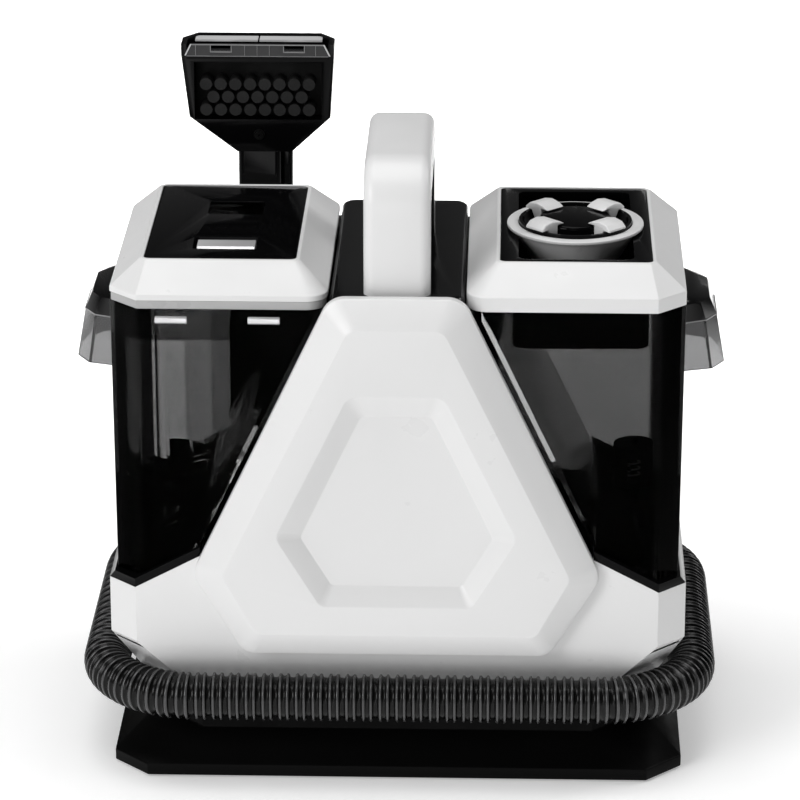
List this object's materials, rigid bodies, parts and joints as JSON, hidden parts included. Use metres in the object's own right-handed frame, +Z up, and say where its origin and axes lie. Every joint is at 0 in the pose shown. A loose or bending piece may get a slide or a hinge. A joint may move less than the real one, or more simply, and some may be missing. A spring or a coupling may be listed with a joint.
{
  "type": "carpet cleaner machine",
  "caption": "Portable carpet spot cleaner: low body wrapped by a suction hose, lift-off clean and waste water tanks, carry handle and a brush tool docked behind.",
  "frame": {"origin": "centre of the base's footprint without the hose, on the floor", "axes": "+Z up, +Y from the front cover to the tool docked behind, +X to the right seen from the front, on the clean water tank's side"},
  "size_m": [0.396, 0.2927, 0.412],
  "materials": {
    "white_plastic": "gloss",
    "black_plastic": "gloss",
    "satin_black_plastic": "satin",
    "smoked_tank": "gloss",
    "smoked_clear": "gloss",
    "grey_plastic": "gloss",
    "clear_plastic": "gloss",
    "silver": "satin",
    "hose_plastic": "gloss",
    "bristle": "matte",
    "rubber": "matte",
    "steel": "satin",
    "motor_metal": "satin",
    "pump_plastic": "matte",
    "duct_plastic": "matte"
  },
  "bodies": {
    "machine": {"base_plate": "satin_black_plastic", "rubber_feet": "rubber", "chassis_plate": "duct_plastic", "lower_housing": "white_plastic", "hose_channel": "satin_black_plastic", "tank_tray_left": "black_plastic", "tank_tray_right": "black_plastic", "core_housing": "black_plastic", "rear_cover": "black_plastic", "housing_screws": "steel", "deck_cover": "black_plastic", "front_cover": "white_plastic", "handle_shell": "white_plastic", "handle_grip": "black_plastic", "vacuum_motor": "motor_metal", "fan_housing": "pump_plastic", "pump_body": "pump_plastic", "intake_duct": "duct_plastic", "suction_duct": "duct_plastic", "water_lines": "duct_plastic", "cord_inlet": "black_plastic", "hose_port": "black_plastic", "suction_hose": "hose_plastic", "wand_body": "black_plastic", "tool_dock": "black_plastic"},
    "power_button": {"power_button": "black_plastic"},
    "fan_rotor": {"fan_rotor": "pump_plastic"},
    "pump_plunger": {"pump_plunger": "pump_plastic"},
    "waste_tank": {"waste_tank_shell": "smoked_tank", "waste_grip_hood": "black_plastic", "waste_grip_skirt": "smoked_clear", "waste_standpipes": "smoked_clear", "rim_catches": "silver"},
    "float": {"float_ring": "smoked_clear"},
    "waste_lid": {"waste_lid": "white_plastic", "waste_lid_skirt": "grey_plastic", "waste_lid_panel": "black_plastic", "lid_window": "smoked_tank"},
    "latch": {"latch_bar": "silver"},
    "clean_tank": {"clean_tank_shell": "smoked_tank", "clean_grip_hood": "black_plastic", "clean_grip_skirt": "smoked_clear", "clean_lid": "white_plastic", "clean_lid_panel": "black_plastic", "fill_funnel": "white_plastic", "valve_cage": "pump_plastic"},
    "valve": {"valve_poppet": "pump_plastic", "valve_spring": "steel"},
    "cap_plug": {"fill_cap_plug": "black_plastic", "fill_cap_seal": "rubber"},
    "cap_top": {"cap_hub": "black_plastic", "cap_claws": "white_plastic"},
    "tool_head": {"head_shell": "black_plastic", "mouth_window": "clear_plastic", "brush_plate": "satin_black_plastic", "bristle_tufts": "bristle", "spray_tip": "satin_black_plastic"},
    "head_button": {"head_button": "black_plastic"},
    "trigger": {"trigger": "black_plastic"},
    "hose_cuff": {"hose_cuff": "black_plastic"}
  },
  "joints": [
    {"name": "power_press", "type": "slide", "parent": "machine", "child": "power_button", "axis": [0, 0, -1], "range_m": [0, 0.002], "stiffness_N_per_m": 600},
    {"name": "fan_spin", "type": "hinge", "parent": "machine", "child": "fan_rotor", "pos_m": [0, -0.025, 0.17], "axis": [0, 0, 1], "continuous": true},
    {"name": "pump_stroke", "type": "slide", "parent": "machine", "child": "pump_plunger", "axis": [-1, 0, 0], "range_m": [0, 0.004]},
    {"name": "waste_tank_lift", "type": "slide", "parent": "machine", "child": "waste_tank", "axis": [0, 0, 1], "range_m": [0, 0.22]},
    {"name": "float_rise", "type": "slide", "parent": "waste_tank", "child": "float", "axis": [0, 0, 1], "range_m": [0, 0.07]},
    {"name": "waste_lid_lift", "type": "slide", "parent": "waste_tank", "child": "waste_lid", "axis": [0, 0, 1], "range_m": [0, 0.08]},
    {"name": "latch_press", "type": "slide", "parent": "waste_lid", "child": "latch", "axis": [0, 0, -1], "range_m": [0, 0.003], "stiffness_N_per_m": 700},
    {"name": "clean_tank_lift", "type": "slide", "parent": "machine", "child": "clean_tank", "axis": [0, 0, 1], "range_m": [0, 0.22]},
    {"name": "valve_open", "type": "slide", "parent": "clean_tank", "child": "valve", "axis": [0, 0, 1], "range_m": [0, 0.004], "stiffness_N_per_m": 200, "deforming": ["valve_spring"]},
    {"name": "cap_lift", "type": "slide", "parent": "clean_tank", "child": "cap_plug", "axis": [0, 0, 1], "range_m": [0, 0.05]},
    {"name": "cap_turn", "type": "hinge", "parent": "cap_plug", "child": "cap_top", "pos_m": [0.106, -0.025, 0.325], "axis": [0, 0, 1], "range_deg": [0, 90]},
    {"name": "head_lift", "type": "slide", "parent": "machine", "child": "tool_head", "axis": [0, 0, 1], "range_m": [0, 0.03]},
    {"name": "head_release", "type": "slide", "parent": "tool_head", "child": "head_button", "axis": [0, -1, 0], "range_m": [0, 0.001], "stiffness_N_per_m": 600},
    {"name": "trigger_pull", "type": "hinge", "parent": "machine", "child": "trigger", "pos_m": [-0.0925, 0.088, 0.288], "axis": [1, 0, 0], "range_deg": [0, 5], "stiffness_Nm_per_rad": 0.6},
    {"name": "cuff_swivel", "type": "hinge", "parent": "machine", "child": "hose_cuff", "pos_m": [-0.0925, 0.11217, 0.19209], "axis": [0, 0.2045, -0.9789], "continuous": true}
  ]
}
